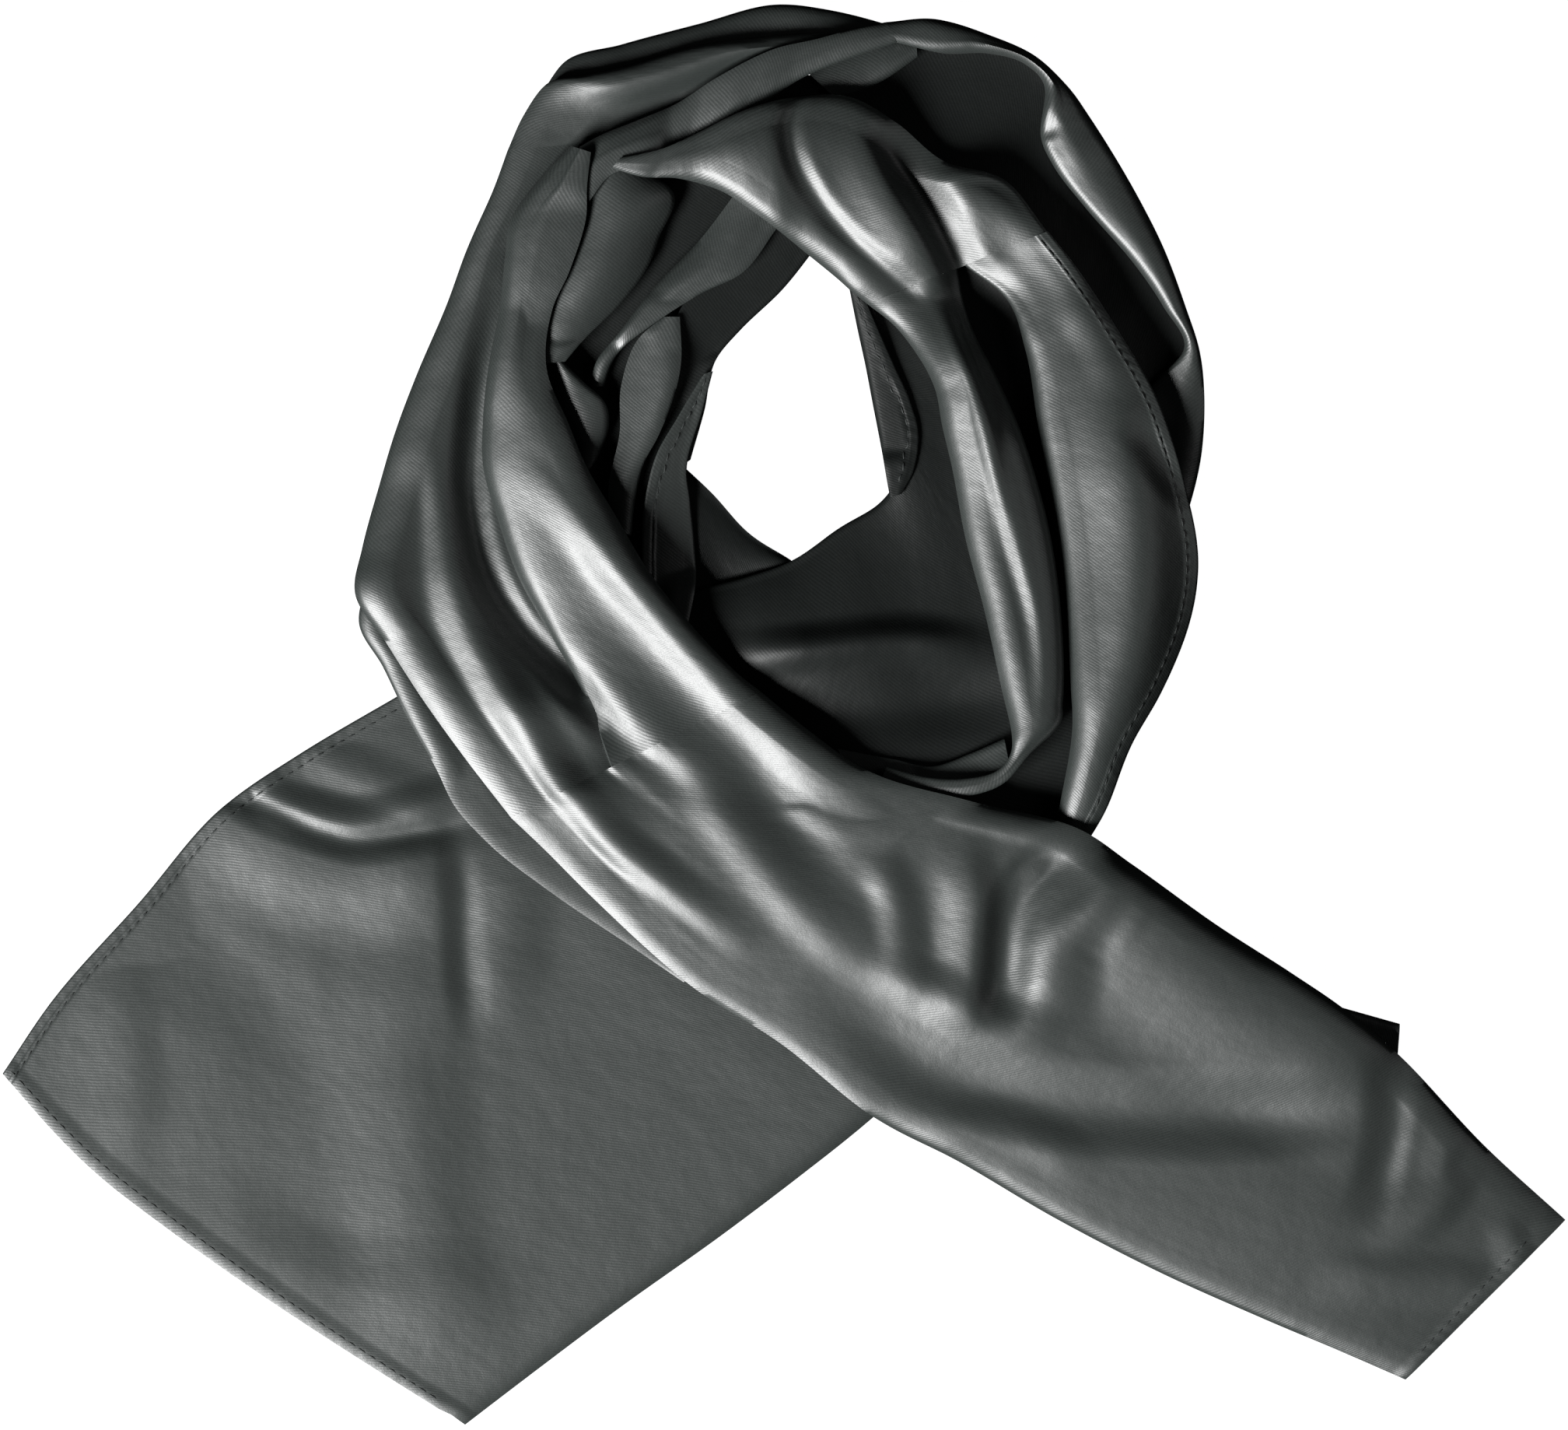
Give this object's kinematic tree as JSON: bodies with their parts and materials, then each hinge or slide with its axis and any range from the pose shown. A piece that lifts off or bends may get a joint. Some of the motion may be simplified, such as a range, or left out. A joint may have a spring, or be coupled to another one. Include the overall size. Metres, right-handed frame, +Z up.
{
  "type": "neckerchief",
  "caption": "Plain charcoal satin neckerchief, wound once into a neck loop and laid flat with two crossing tails.",
  "frame": {"origin": "centre of the bounding box, on the surface that the neckerchief lies on", "axes": "+X towards the end of the front tail, +Y towards the top of the neck loop, +Z up from the surface"},
  "size_m": [0.4513, 0.4099, 0.0242],
  "materials": {
    "satin": "charcoal satin weave with a soft sheen"
  },
  "bodies": {
    "root": {"hidden_layers": "satin", "back_tail": "satin", "front_tail_under": "satin", "right_hollow": "satin", "opening_corner": "satin", "bottom_inner_band": "satin", "inner_ground": "satin", "opening_rim": "satin", "opening_hem_strip": "satin", "inner_flap": "satin", "inner_fold_leaf": "satin", "inner_fold_wing": "satin", "inner_fold_cuff": "satin", "inner_fold_cone": "satin", "roll_cup": "satin", "top_pleat_outer": "satin", "top_tongue": "satin", "left_hem_strip": "satin", "outer_left_band": "satin", "top_pleat_middle": "satin", "top_pleat_inner": "satin", "right_outer_band": "satin", "right_panel": "satin", "right_top": "satin", "right_roll": "satin", "inner_left_band": "satin", "front_tail": "satin"}
  },
  "joints": []
}
